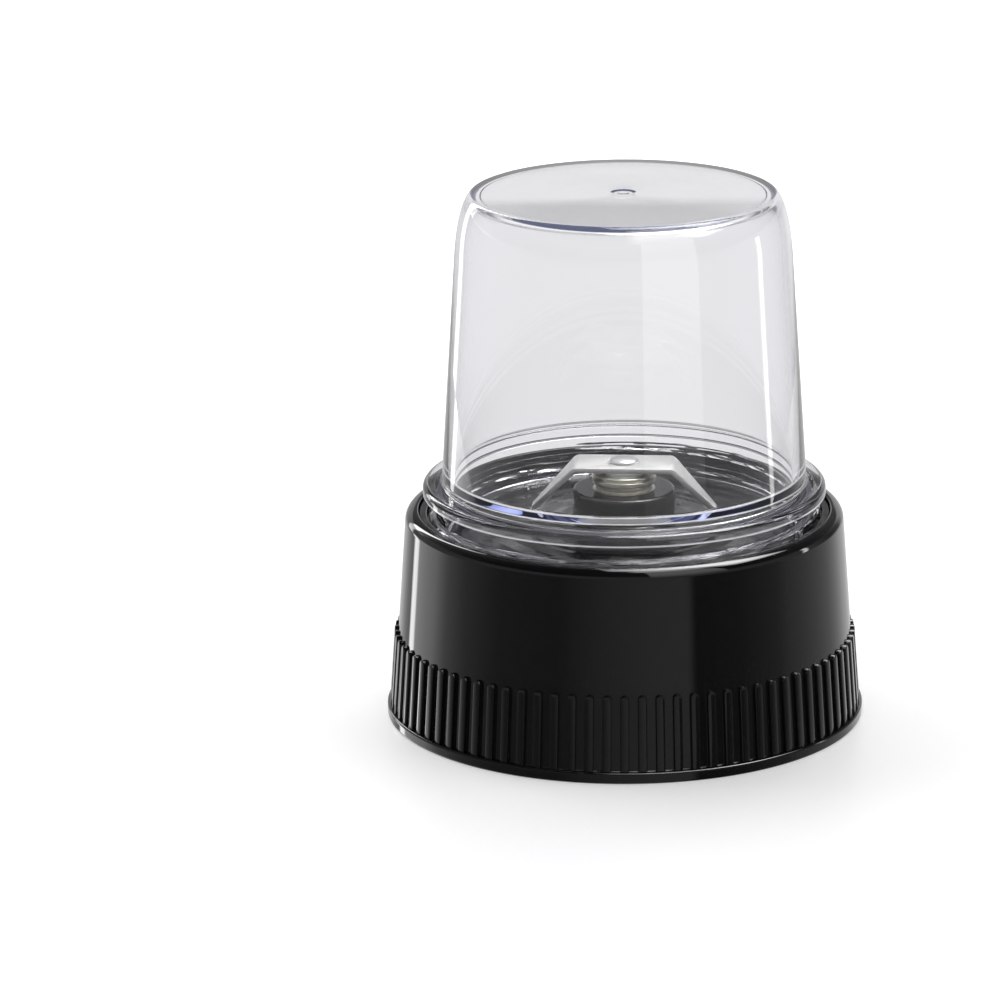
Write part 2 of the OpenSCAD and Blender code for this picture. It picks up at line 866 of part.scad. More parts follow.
module jar() {
    step_z = flange_top + 1;
    step_h = 1.3;
    inner_foot_r = cup_outer_r(step_z + step_h) - jar_wall;
    fillet_x = cup_r + foot_fillet;
    color("#dfe6ea", 0.35)
        union() {
            turned(concat(
                [
                    [skirt_r - break_edge, jar_z],
                    [skirt_r, jar_z + break_edge],
                    [skirt_r, flange_z],
                    [flange_r - break_edge, flange_z],
                    [flange_r, flange_z + break_edge],
                    [flange_r, flange_top - break_edge],
                    [flange_r - break_edge, flange_top]
                ],
                arc(fillet_x, flange_top + foot_fillet, foot_fillet, 270, 180 + cup_draft),
                shoulder(0, jar_top),
                gate_mark(),
                [[0, jar_top - jar_top_t]],
                turned_back(shoulder(jar_wall, jar_top - jar_top_t)),
                [
                    [inner_foot_r, step_z + step_h],
                    [skirt_r - skirt_wall, step_z],
                    [skirt_r - skirt_wall, jar_z]
                ]
            ));
            thread_tooth(skirt_r, thread_crest_r, thread_z, jar_turns);
        }
}

outer_shell();
inner_sleeve();
shell_screws();
blade_carrier();
jar_seal();
bearing_housing();
upper_bush();
lower_bush();
oil_felt();
shaft_seal();
garter_spring();
upper_thrust_washer();
drive_shaft();
hub_cap();
blade_spacer();
blade();
lower_thrust_washer();
retaining_clip();
coupling_insert();
drive_coupling();
coupling_washer();
coupling_screw();
jar();
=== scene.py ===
import json
from math import cos, pi, radians, sin, tan, tau

import bmesh
import bpy
from mathutils import Matrix, Vector


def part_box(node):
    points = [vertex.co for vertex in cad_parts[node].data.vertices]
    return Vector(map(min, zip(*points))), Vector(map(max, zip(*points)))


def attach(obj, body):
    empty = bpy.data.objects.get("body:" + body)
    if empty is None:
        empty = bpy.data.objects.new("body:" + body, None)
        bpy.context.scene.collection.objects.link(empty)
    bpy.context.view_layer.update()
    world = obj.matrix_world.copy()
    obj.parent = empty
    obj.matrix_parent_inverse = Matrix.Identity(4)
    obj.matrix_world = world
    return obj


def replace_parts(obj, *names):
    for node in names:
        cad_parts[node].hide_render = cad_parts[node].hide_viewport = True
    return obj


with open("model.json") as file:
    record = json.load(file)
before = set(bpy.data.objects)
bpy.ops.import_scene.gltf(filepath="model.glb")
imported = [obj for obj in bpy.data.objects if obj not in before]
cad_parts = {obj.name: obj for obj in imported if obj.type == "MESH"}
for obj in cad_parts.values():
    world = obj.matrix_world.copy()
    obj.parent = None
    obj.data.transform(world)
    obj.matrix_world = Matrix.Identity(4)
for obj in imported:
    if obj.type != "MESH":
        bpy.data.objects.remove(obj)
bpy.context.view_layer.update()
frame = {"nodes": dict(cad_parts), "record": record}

mm = 0.001
smoothAngle = radians(32)   # edges sharper than this stay crisp
bluntAngle = radians(35)    # edges sharper than this are broken


def linearColour(hexColour):
    channels = [int(hexColour[i:i + 2], 16) / 255 for i in (1, 3, 5)]
    return [c / 12.92 if c <= 0.04045 else ((c + 0.055) / 1.055) ** 2.4 for c in channels] + [1.0]


def addNode(tree, kind, settings=None, links=None):
    # a setting is a property of the node or, by name or number, an input, and a link comes from
    # an output or, if from a node, from its first one
    node = tree.nodes.new(kind)
    for key, value in (settings or {}).items():
        if isinstance(key, str) and hasattr(node, key):
            setattr(node, key, value)
        else:
            node.inputs[key].default_value = value
    for key, source in (links or {}).items():
        socket = source.outputs[0] if isinstance(source, bpy.types.Node) else source
        tree.links.new(socket, node.inputs[key])
    return node


def newObject(name, data):
    thing = bpy.data.objects.new(name, data)
    bpy.context.scene.collection.objects.link(thing)
    return thing


# Camera

cameraPlace = {
    "distance": 1.0575,      # in front of the turning axis
    "height": 0.35295,
    "lens": 189.88,
    "sensor": 36,
    "aimDown": 0.2829,       # radians
    "aimRight": 0.0245,
    "roll": -0.0096,
    "nearest": 0.05,         # nothing closer than this is drawn
}

cameraData = bpy.data.cameras.new("productCamera")
cameraData.sensor_width = cameraPlace["sensor"]
cameraData.lens = cameraPlace["lens"]
cameraData.clip_start = cameraPlace["nearest"]
camera = newObject("productCamera", cameraData)
camera.matrix_world = (
    Matrix.Translation((0, -cameraPlace["distance"], cameraPlace["height"]))
    @ Matrix.Rotation(cameraPlace["aimRight"], 4, "Z")
    @ Matrix.Rotation(pi / 2 - cameraPlace["aimDown"], 4, "X")
    @ Matrix.Rotation(cameraPlace["roll"], 4, "Z")
)
bpy.context.scene.camera = camera
bpy.context.scene.view_settings.view_transform = "Standard"
print("camera placed")


# Materials. Each has its slot, its shader's settings and layers of noise. The noise is the size of
# its features in millimetres, detail and unevenness. A layer can stretch it along the axes, and
# gives what it changes: roughness and colour between two values, and relief in millimetres.

materials = {
    # ABS moulded in a polished tool: deep black, a mirror gloss broken by very faint flow waves
    # and by the fine marks that handling leaves
    "polishedBlackAbs": (
        "gloss_black_plastic", {"Base Color": "#121214", "Roughness": 0.04, "IOR": 1.53},
        {"noise": (7, 6, 0.6), "roughness": (0.03, 0.055), "colours": ("#101012", "#141416")},
        {"noise": (9, 1, 0.4), "relief": 0.02},
    ),
    # the same resin from a plainer tool: black with a softer gloss and faint flow waves
    "satinBlackAbs": (
        "black_plastic", {"Base Color": "#0e0e10", "Roughness": 0.12, "IOR": 1.53},
        {"noise": (4, 4, 0.6), "roughness": (0.09, 0.15), "colours": ("#0c0c0e", "#111113")},
        {"noise": (6, 1, 0.4), "relief": 0.008},
    ),
    # SAN, injection moulded: water clear in the wall, lilac where the eye looks along the flange,
    # with a faint flow ripple
    "clearStyreneAcrylonitrile": (
        "clear_plastic",
        {"Base Color": "#fdfdfd", "Roughness": 0.0, "IOR": 1.52, "Transmission Weight": 1.0},
        {"noise": (14, 1, 0.4), "stretch": (1, 1, 0.4), "relief": 0.015},
    ),
    # martensitic stainless sheet, brushed along the arms and then ground: bright, with fine lines
    "brushedStainless": (
        "blade_steel", {"Base Color": "#efeeec", "Metallic": 1.0, "Roughness": 0.52},
        {"noise": (3, 3, 0.5), "roughness": (0.48, 0.56), "colours": ("#e4e3e0", "#eeedeb")},
        {"noise": (0.12, 3, 0.6), "stretch": (0.04, 1, 1), "relief": 0.006},
    ),
    # nickel-plated steel turned on a lathe: warm, bright, with rings round the axis
    "turnedPlate": (
        "polished_steel", {"Base Color": "#efecdd", "Metallic": 1.0, "Roughness": 0.35},
        {"noise": (2, 3, 0.5), "roughness": (0.3, 0.4)},
    ),
    # centreless-ground shaft steel: grey and smooth, with a light haze
    "groundSteel": (
        "turned_steel", {"Base Color": "#d9d9d8", "Metallic": 1.0, "Roughness": 0.34},
        {
            "noise": (0.8, 4, 0.6), "stretch": (1, 1, 4),
            "roughness": (0.28, 0.4), "colours": ("#d2d2d2", "#e0e0de"), "relief": 0.003,
        },
    ),
    # bright zinc over steel: bluish, with a mottled lustre
    "zincPlatedSteel": (
        "zinc_steel", {"Base Color": "#c4c8cc", "Metallic": 1.0, "Roughness": 0.3},
        {
            "noise": (0.9, 5, 0.65),
            "roughness": (0.22, 0.42), "colours": ("#b4b9c0", "#d3d6d8"), "relief": 0.01,
        },
    ),
    # blued spring steel: dark, oily, slightly uneven
    "springSteel": (
        "spring_steel", {"Base Color": "#4a4b50", "Metallic": 1.0, "Roughness": 0.3},
        {
            "noise": (0.7, 4, 0.6),
            "roughness": (0.22, 0.4), "colours": ("#3c3d44", "#5a5a5c"), "relief": 0.006,
        },
    ),
    # pressed bronze powder soaked in oil: brown-gold, dull, with open pores
    "sinteredBronze": (
        "sintered_bronze", {"Base Color": "#a67c4a", "Metallic": 1.0, "Roughness": 0.45},
    ),
    # a brass insert cut from drawn bar: yellow, with a grain along the axis
    "drawnBrass": (
        "brass_insert", {"Base Color": "#cda85a", "Metallic": 1.0, "Roughness": 0.25},
        {
            "noise": (0.3, 3, 0.6), "stretch": (1, 1, 0.08),
            "roughness": (0.18, 0.34), "colours": ("#c09a4c", "#dab86c"), "relief": 0.006,
        },
    ),
    # pressed wool soaked in oil: matt and fibrous
    "woolFelt": (
        "felt", {"Base Color": "#b5a27a", "Roughness": 0.95, "IOR": 1.45, "Sheen Weight": 0.4},
        {
            "noise": (0.4, 8, 0.75), "stretch": (1, 1, 3),
            "colours": ("#97845c", "#cbbb96"), "relief": 0.12,
        },
    ),
    # moulded nitrile: near black, matt, with a fine bloom
    "nitrileRubber": (
        "nitrile_rubber", {"Base Color": "#1f1f20", "Roughness": 0.6, "IOR": 1.52},
        {
            "noise": (0.6, 5, 0.6),
            "roughness": (0.5, 0.75), "colours": ("#1a1a1b", "#2a2a2a"), "relief": 0.015,
        },
    ),
    # food-grade silicone: milky, soft-looking, with a dusty matt skin
    "mouldedSilicone": (
        "silicone",
        {
            "Base Color": "#b9b9b6", "Roughness": 0.5, "IOR": 1.41, "Subsurface Weight": 0.3,
            "Subsurface Radius": (1.0, 1.0, 1.0), "Subsurface Scale": mm,
        },
        {
            "noise": (1.2, 4, 0.6),
            "roughness": (0.42, 0.6), "colours": ("#adadab", "#c3c3c0"), "relief": 0.01,
        },
    ),
    # washers punched from nylon sheet: ivory and waxy
    "punchedNylon": (
        "nylon", {"Base Color": "#ddd8c8", "Roughness": 0.4, "IOR": 1.53},
        {
            "noise": (1.5, 3, 0.5),
            "roughness": (0.32, 0.5), "colours": ("#d5cfbc", "#e4e0d2"), "relief": 0.006,
        },
    ),
    # nylon with short glass fibre: dark grey, with faint pale flecks and a dry satin skin
    "glassFilledNylon": (
        "coupling_plastic", {"Base Color": "#232327", "Roughness": 0.4, "IOR": 1.53},
        {
            "noise": (0.5, 6, 0.7), "stretch": (1, 1, 0.3),
            "roughness": (0.32, 0.55), "colours": ("#1d1d21", "#333338"), "relief": 0.012,
        },
    ),
}


def perFeature(size):
    # a texture's scale for features of that size in millimetres, on coordinates in metres
    return 1 / (size * mm)


def newMaterial(name, settings, layers):
    material = bpy.data.materials.new(name)
    material.use_nodes = True
    tree = material.node_tree
    shader = tree.nodes["Principled BSDF"]
    for key, value in settings.items():
        shader.inputs[key].default_value = linearColour(value) if key == "Base Color" else value
    place = addNode(tree, "ShaderNodeTexCoord").outputs["Object"]
    for layer in layers:
        drawn = addNode(
            tree, "ShaderNodeMapping", {"Scale": layer.get("stretch", (1, 1, 1))}, {"Vector": place}
        )
        size, detail, uneven = layer["noise"]
        noise = addNode(
            tree, "ShaderNodeTexNoise",
            {"Scale": perFeature(size), "Detail": detail, "Roughness": uneven}, {"Vector": drawn},
        )
        dressSurface(tree, shader, noise.outputs["Fac"], layer)
    return material, tree, shader, place


def dressSurface(tree, shader, pattern, layer):
    if "roughness" in layer:
        # over the pattern's 0.3 to 0.7, where noise lies
        low, high = layer["roughness"]
        sheen = addNode(
            tree, "ShaderNodeMapRange",
            {"From Min": 0.3, "From Max": 0.7, "To Min": low, "To Max": high}, {"Value": pattern},
        )
        tree.links.new(sheen.outputs["Result"], shader.inputs["Roughness"])
    if "colours" in layer:
        first, second = [linearColour(colour) for colour in layer["colours"]]
        tint = addNode(
            tree, "ShaderNodeMix", {"data_type": "RGBA", 6: first, 7: second}, {0: pattern}
        )
        tree.links.new(tint.outputs[2], shader.inputs["Base Color"])
    if "relief" in layer:
        bump = addNode(
            tree, "ShaderNodeBump", {"Strength": 1.0, "Distance": layer["relief"] * mm},
            {"Height": pattern},
        )
        tree.links.new(bump.outputs["Normal"], shader.inputs["Normal"])


def addTurningRings(tree, shader, place):
    ringSpacing, ringsPerUnit = 0.25, 20        # mm, and what the texture draws at a scale of 1
    rings = addNode(
        tree, "ShaderNodeTexWave",
        {
            "wave_type": "RINGS", "rings_direction": "Z",
            "Scale": perFeature(ringSpacing) / ringsPerUnit,
            "Distortion": 0.6, "Detail": 2.0, "Detail Scale": 2.0,
        },
        {"Vector": place},
    )
    look = {"colours": ("#e8e5d4", "#f4f2e8"), "relief": 0.004}
    dressSurface(tree, shader, rings.outputs["Fac"], look)


def addPores(tree, shader, place):
    poreSpacing = 0.35
    pores = addNode(
        tree, "ShaderNodeTexVoronoi", {"Scale": perFeature(poreSpacing)}, {"Vector": place}
    )
    look = {"colours": ("#6f4f2c", "#b88d55"), "relief": 0.03}
    dressSurface(tree, shader, pores.outputs["Distance"], look)


def letLightOut(tree, shader, place):
    # light that has bounced often inside the closed end comes out blue grey and isn't lost
    bounces, endLow = 4, 98 * mm
    path = addNode(tree, "ShaderNodeLightPath").outputs
    height = addNode(tree, "ShaderNodeSeparateXYZ", None, {0: place}).outputs["Z"]
    inEnd = addNode(tree, "ShaderNodeMath", {"operation": "GREATER_THAN", 1: endLow}, {0: height})
    often = addNode(
        tree, "ShaderNodeMath", {"operation": "GREATER_THAN", 1: bounces - 0.5},
        {0: path["Glossy Depth"]},
    )
    caught = addNode(tree, "ShaderNodeMath", {"operation": "MULTIPLY"}, {0: inEnd, 1: often})
    blueGrey = addNode(tree, "ShaderNodeBsdfTransparent", {"Color": linearColour("#7b8196")})
    wall = addNode(tree, "ShaderNodeMixShader", None, {0: caught, 1: shader, 2: blueGrey})
    # lamps shine through the wall
    clear = addNode(tree, "ShaderNodeBsdfTransparent", {"Color": linearColour("#eeeef0")})
    surface = addNode(
        tree, "ShaderNodeMixShader", None, {0: path["Is Shadow Ray"], 1: wall, 2: clear}
    )
    lilac = addNode(
        tree, "ShaderNodeVolumeAbsorption", {"Color": linearColour("#c2c4ea"), "Density": 22.0}
    )
    output = tree.nodes["Material Output"]
    tree.links.new(surface.outputs[0], output.inputs["Surface"])
    tree.links.new(lilac.outputs[0], output.inputs["Volume"])


further = {
    "clearStyreneAcrylonitrile": letLightOut,
    "turnedPlate": addTurningRings,
    "sinteredBronze": addPores,
}
finish = {}
for name, (slotName, settings, *layers) in materials.items():
    finish[slotName], *nodes = newMaterial(name, settings, layers)
    if name in further:
        further[name](*nodes)
print("materials made:", len(finish))


# Shapes that several pieces share. Profiles are in millimetres, as (radius, height, rounding).

flatStrip = 0.04      # mm, a strip beside each rounding that keeps straight faces flat in shading
overlap = 0.3         # mm that one shape stands in another, where they are one moulding


def roundedProfile(corners, closed=False, steps=6):
    # the corners with those that have a rounding turned into arcs
    points = []
    count = len(corners)
    for i, corner in enumerate(corners):
        here = Vector(corner[:2])
        atEnd = not closed and i in (0, count - 1)
        if len(corner) < 3 or atEnd:
            points.append(here)
            continue
        towardsLast = (Vector(corners[i - 1][:2]) - here).normalized()
        towardsNext = (Vector(corners[(i + 1) % count][:2]) - here).normalized()
        half = towardsLast.angle(towardsNext) / 2
        middle = here + (towardsLast + towardsNext).normalized() * corner[2] / sin(half)
        first = here + towardsLast * corner[2] / tan(half) - middle
        last = here + towardsNext * corner[2] / tan(half) - middle
        turn = first.angle_signed(last)
        points.append(middle + first + towardsLast * flatStrip)
        for k in range(steps + 1):
            points.append(middle + Matrix.Rotation(-turn * k / steps, 2) @ first)
        points.append(middle + last + towardsNext * flatStrip)
    return points


def turnedMesh(points, steps=192, closed=False, relief=None):
    # the profile turned round Z. relief(radius, height, angle) gives a new radius.
    mesh = bmesh.new()
    rings = []
    for radius, height in points:
        if radius == 0:
            rings.append([mesh.verts.new((0, 0, height * mm))] * steps)
            continue
        ring = []
        for k in range(steps):
            angle = tau * k / steps
            r = relief(radius, height, angle) if relief else radius
            ring.append(mesh.verts.new((r * cos(angle) * mm, r * sin(angle) * mm, height * mm)))
        rings.append(ring)
    pairs = list(zip(rings, rings[1:])) + ([(rings[-1], rings[0])] if closed else [])
    for lower, upper in pairs:
        for k in range(steps):
            n = (k + 1) % steps
            corners = [lower[k], lower[n], upper[n], upper[k]]
            corners = [v for i, v in enumerate(corners) if v not in corners[:i]]
            if len(corners) > 2:
                mesh.faces.new(corners)
    bmesh.ops.recalc_face_normals(mesh, faces=mesh.faces)
    return mesh


def turnedRing(corners, roundingSteps, steps=192):
    # a closed profile turned round Z
    return turnedMesh(roundedProfile(corners, True, roundingSteps), steps, closed=True)


def newPiece(name, shape, slotName):
    mesh = bpy.data.meshes.new(name)
    shape.to_mesh(mesh)
    shape.free()
    mesh.shade_smooth()
    mesh.set_sharp_from_angle(angle=smoothAngle)
    mesh.materials.append(finish[slotName])
    piece = newObject(name, mesh)
    return piece


def baked(piece):
    # the piece with its modifiers taken into its mesh
    bpy.context.view_layer.update()
    seen = piece.evaluated_get(bpy.context.evaluated_depsgraph_get())
    mesh = bpy.data.meshes.new_from_object(seen)
    piece.modifiers.clear()
    piece.data = mesh
    mesh.shade_smooth()
    mesh.set_sharp_from_angle(angle=smoothAngle)
    return piece


def softenEdges(piece, width):
    bevel = piece.modifiers.new("brokenEdges", "BEVEL")
    bevel.width = width * mm
    bevel.segments = 2
    bevel.limit_method = "ANGLE"
    bevel.angle_limit = bluntAngle
    baked(piece)


def makeRingTree():
    # a Geometry Nodes tree that sets copies of a piece round the turning axis
    tree = bpy.data.node_groups.new("copiesRoundTheAxis", "GeometryNodeTree")
    sockets = [
        ("Piece", "INPUT", "NodeSocketGeometry"),
        ("Count", "INPUT", "NodeSocketInt"),
        ("Start Angle", "INPUT", "NodeSocketFloat"),
        ("Finish", "INPUT", "NodeSocketMaterial"),
        ("Ring", "OUTPUT", "NodeSocketGeometry"),
    ]
    for name, side, kind in sockets:
        tree.interface.new_socket(name, in_out=side, socket_type=kind)
    given = addNode(tree, "NodeGroupInput").outputs
    step = addNode(tree, "ShaderNodeMath", {"operation": "DIVIDE", 0: tau}, {1: given["Count"]})
    index = addNode(tree, "GeometryNodeInputIndex")
    angle = addNode(
        tree, "ShaderNodeMath", {"operation": "MULTIPLY_ADD"},
        {0: index, 1: step, 2: given["Start Angle"]},
    )
    turn = addNode(tree, "ShaderNodeCombineXYZ", None, {"Z": angle})
    rotation = addNode(tree, "FunctionNodeEulerToRotation", None, {0: turn})
    points = addNode(tree, "GeometryNodePoints", None, {"Count": given["Count"]})
    copies = addNode(
        tree, "GeometryNodeInstanceOnPoints", None,
        {"Points": points, "Instance": given["Piece"], "Rotation": rotation},
    )
    real = addNode(tree, "GeometryNodeRealizeInstances", None, {"Geometry": copies})
    painted = addNode(
        tree, "GeometryNodeSetMaterial", None, {"Geometry": real, "Material": given["Finish"]}
    )
    addNode(tree, "NodeGroupOutput", None, {"Ring": painted})
    return tree


ringTree = makeRingTree()


def copiesRound(piece, count, startAngle):
    nodes = piece.modifiers.new("copiesRoundTheAxis", "NODES")
    nodes.node_group = ringTree
    ids = {s.name: s.identifier for s in ringTree.interface.items_tree if s.in_out == "INPUT"}
    nodes[ids["Count"]] = count
    nodes[ids["Start Angle"]] = startAngle
    nodes[ids["Finish"]] = piece.data.materials[0]
    return baked(piece)


def betweenFaces(first, last):
    # a solid between two faces, given by their corners in millimetres
    mesh = bmesh.new()
    first, last = [
        [mesh.verts.new([size * mm for size in corner]) for corner in face]
        for face in (first, last)
    ]
    mesh.faces.new(first)
    mesh.faces.new(last[::-1])
    for i in range(len(first)):
        n = (i + 1) % len(first)
        mesh.faces.new([first[i], last[i], last[n], first[n]])
    bmesh.ops.recalc_face_normals(mesh, faces=mesh.faces)
    return mesh


def plate(outline, thickness):
    # an outline in (out, up) millimetres, its thickness along Y
    return betweenFaces(*[
        [(out, side * thickness / 2, up) for out, up in outline] for side in (-1, 1)
    ])


def cutWith(piece, cutter):
    cut = piece.modifiers.new("cut", "BOOLEAN")
    cut.operation = "DIFFERENCE"
    cut.solver = "EXACT"
    cut.object = cutter
    baked(piece)
    bpy.data.objects.remove(cutter, do_unlink=True)


# Sizes that the pieces take from the frame, in millimetres

def sizeOf(node):
    low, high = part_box(node)
    return {"r": high.x / mm, "low": low.z / mm, "high": high.z / mm}


collarBox = sizeOf("outer_shell")
sleeveBox = sizeOf("inner_sleeve")
jarBox = sizeOf("jar")
carrierBox = sizeOf("blade_carrier")
sealBox = sizeOf("jar_seal")
capBox = sizeOf("hub_cap")


# Thread teeth, the same for the jar and the collar

thread = {
    "lead": 4.0,
    "height": 1.4,
    "footWidth": 2.2,
    "crestWidth": 1.0,
    "bite": 0.4,        # how deep the foot stands in its wall
    "fade": 8 / 60,     # turns over which an end grows to full height
    "rowStep": 0.2,     # between mesh rows up the wall
    "plainEnd": 0.5,    # wall above and below them
    "sameR": 0.01,      # a point this near the wall's radius is on the wall
}


def toothRise(height, angle, start, startAngle, turns):
    # how far the tooth stands out of its wall at this height and angle
    rise = 0.0
    around = ((angle - startAngle) % tau) / tau
    for lap in range(2):
        along = around + lap
        if along > turns:
            break
        middle = start + thread["lead"] * along
        grow = min(1, along / thread["fade"], (turns - along) / thread["fade"])
        tall = thread["bite"] + thread["height"] * grow
        half, crest = thread["footWidth"] / 2, thread["crestWidth"] / 2
        side = min(1, max(0, (half - abs(height - middle)) / (half - crest)))
        rise = max(rise, side * tall - thread["bite"])
    return rise


def threadOn(wallR, outward, start, startAngle, turns):
    # a relief for turnedMesh: the tooth on the wall of that radius, outward 1 or inward -1
    def relief(radius, height, angle):
        if abs(radius - wallR) > thread["sameR"]:
            return radius
        return radius + outward * toothRise(height, angle, start, startAngle, turns)

    return relief


def rowsBetween(radius, low, high):
    # mesh rows up a threaded wall
    count = max(1, round(abs(high - low) / thread["rowStep"]))
    return [(radius, low + (high - low) * k / count) for k in range(1, count)]


# Collar shell and its grip ribs

shell = {
    "footBand": 2.3,
    "footProud": 1.2,
    "spread": 3.2,
    "rimWidth": 2.6,
    "rimRound": 2.2,
    "wall": 2.6,
    "taperTop": 34.7,   # the bore narrows from its foot up to here
    "boreRing": 37.7,   # a mesh ring above that, so that the bore shades straight
    "ribs": 84,
    "ribWidth": 1.8,
    "ribProud": 0.8,
    "ribLength": 15.8,
    "ribRound": 0.22,
    "ribRoot": 1.0,     # where it starts in the wall, out from the rim's radius
    "bosses": 4,
    "bossTurn": pi / 4,
    "bossReach": 42.36,
    "bossR": 3.0,
    "bossHole": 1.52,
    "bossLow": 4.0,
    "bossHigh": 22.0,
    "bossHoleEnd": 15.0,
    "webReach": 46.0,
    "webThick": 1.6,
}
shellFootR = collarBox["r"]
shellTop = collarBox["high"]
shellWallFootR = shellFootR - shell["footProud"]
shellRimR = shellWallFootR - shell["spread"]
shellBoreR = shellRimR - shell["rimWidth"]


def shellWallR(height):
    return shellRimR + shell["spread"] * (shellTop - height) / shellTop


def makeShell():
    corners = [
        (shellBoreR, shellTop, 0.3),
        (shellRimR, shellTop, shell["rimRound"]),
        (shellWallR(shell["footBand"]), shell["footBand"], 0.3),
        (shellFootR, shell["footBand"], 0.45),
        (shellFootR, 0, 0.45),
        (shellWallFootR - shell["wall"], 0, 0.3),
        (shellBoreR, shell["taperTop"]),
        (shellBoreR, shell["boreRing"]),
    ]
    piece = newPiece("collarShell", turnedRing(corners, 6, 256), "gloss_black_plastic")
    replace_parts(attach(piece, "collar"), "outer_shell")


def makeRibs():
    half = shell["ribWidth"] / 2
    low = shell["footBand"] - overlap
    shoulder = shell["footBand"] + shell["ribLength"] - half
    roundEnd = [radians(degree) for degree in range(0, 181, 20)]
    outline = [(-half, low), (half, low)]
    outline += [(half * cos(angle), shoulder + half * sin(angle)) for angle in roundEnd]
    rib = betweenFaces(
        [(shellWallR(up) + shell["ribProud"], across, up) for across, up in outline],
        [(shellRimR + shell["ribRoot"], across, up) for across, up in outline],
    )
    front = [edge for edge in rib.edges if any(face.normal.x > 0.5 for face in edge.link_faces)]
    bmesh.ops.bevel(
        rib, geom=front, offset=shell["ribRound"] * mm, segments=2, profile=0.5, affect="EDGES"
    )
    piece = newPiece("gripRibs", rib, "gloss_black_plastic")
    copiesRound(piece, shell["ribs"], 0.0)
    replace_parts(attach(piece, "collar"), "outer_shell")


def makeBosses():
    # screw bosses inside the shell, each tied to the wall by a web
    low, high = shell["bossLow"], shell["bossHigh"]
    boss = turnedMesh(roundedProfile([
        (0, shell["bossHoleEnd"]),
        (shell["bossHole"], shell["bossHoleEnd"]),
        (shell["bossHole"], low, 0.2),
        (shell["bossR"], low, 0.2),
        (shell["bossR"], high, 0.3),
        (0, high),
    ]), steps=32)
    bmesh.ops.translate(boss, verts=boss.verts, vec=(shell["bossReach"] * mm, 0, 0))
    web = bpy.data.meshes.new("bossWeb")
    near, far = shell["bossReach"] + shell["bossR"] - overlap, shell["webReach"]
    plate([(near, low), (far, low), (far, high), (near, high)], shell["webThick"]).to_mesh(web)
    boss.from_mesh(web)
    bpy.data.meshes.remove(web)
    piece = newPiece("screwBosses", boss, "gloss_black_plastic")
    copiesRound(piece, shell["bosses"], shell["bossTurn"])
    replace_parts(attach(piece, "collar"), "outer_shell")


makeShell()
makeRibs()
makeBosses()
print("collar shell, grip ribs and screw bosses made")


# Threaded sleeve inside the collar

sleeve = {
    "rootR": 41.2,
    "outerR": 42.8,
    "ledge": 33.5,
    "ledgeWeb": 2.2,
    "ledgeCone": 1.0,
    "tubeR": 38.8,
    "reliefR": 36.6,
    "dockR": 36.0,
    "dockTop": 8.5,
    "plateLow": 1.5,
    "plateTop": 4.0,
    "plateR": 45.71,
    "screwHoleR": 1.7,
    "countersinkR": 3.0,
    "countersinkFootR": 3.1,
    "countersinkTop": 2.9,
    "threadStart": 36.2,
    "threadTurns": 1.4,
    "grooves": 3,
    "grooveR": 37.5,
    "grooveWidth": 10.0,
    "grooveTurn": 32,         # degrees
    "grooveLow": 9.0,
    "grooveTop": 13.0,
    "grooveInR": 33.0,        # where the cutter starts, inside the bore
    "cutPast": 0.5,           # how far a cutter stands out of what it cuts
}


def makeSleeve():
    top, ledge = sleeveBox["high"], sleeve["ledge"]
    rootR, plainEnd = sleeve["rootR"], thread["plainEnd"]
    underLedge = ledge - sleeve["ledgeWeb"]
    outside = roundedProfile([
        (rootR, top - plainEnd),
        (rootR, top, 0.3),
        (sleeve["outerR"], top, 0.3),
        (sleeve["outerR"], underLedge, 0.3),
        (sleeve["tubeR"], underLedge - sleeve["ledgeCone"], 0.3),
        (sleeve["tubeR"], sleeve["plateTop"], 0.5),
        (sleeve["plateR"], sleeve["plateTop"], 0.2),
        (sleeve["plateR"], sleeve["plateLow"], 0.2),
        (sleeve["dockR"], sleeve["plateLow"], 0.5),
        (sleeve["dockR"], sleeve["dockTop"], 0.1),
        (sleeve["reliefR"], sleeve["dockTop"]),
        (sleeve["reliefR"], ledge, 0.25),
        (rootR, ledge, 0.25),
        (rootR, ledge + plainEnd),
    ], steps=4)
    piece = newPiece(
        "threadedSleeve",
        turnedMesh(
            outside + rowsBetween(rootR, ledge + plainEnd, top - plainEnd), steps=256, closed=True,
            relief=threadOn(rootR, -1, sleeve["threadStart"], pi, sleeve["threadTurns"]),
        ),
        "black_plastic",
    )
    cutWith(piece, grooveCutter())
    cutWith(piece, screwHoleCutter())
    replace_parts(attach(piece, "collar"), "inner_sleeve")


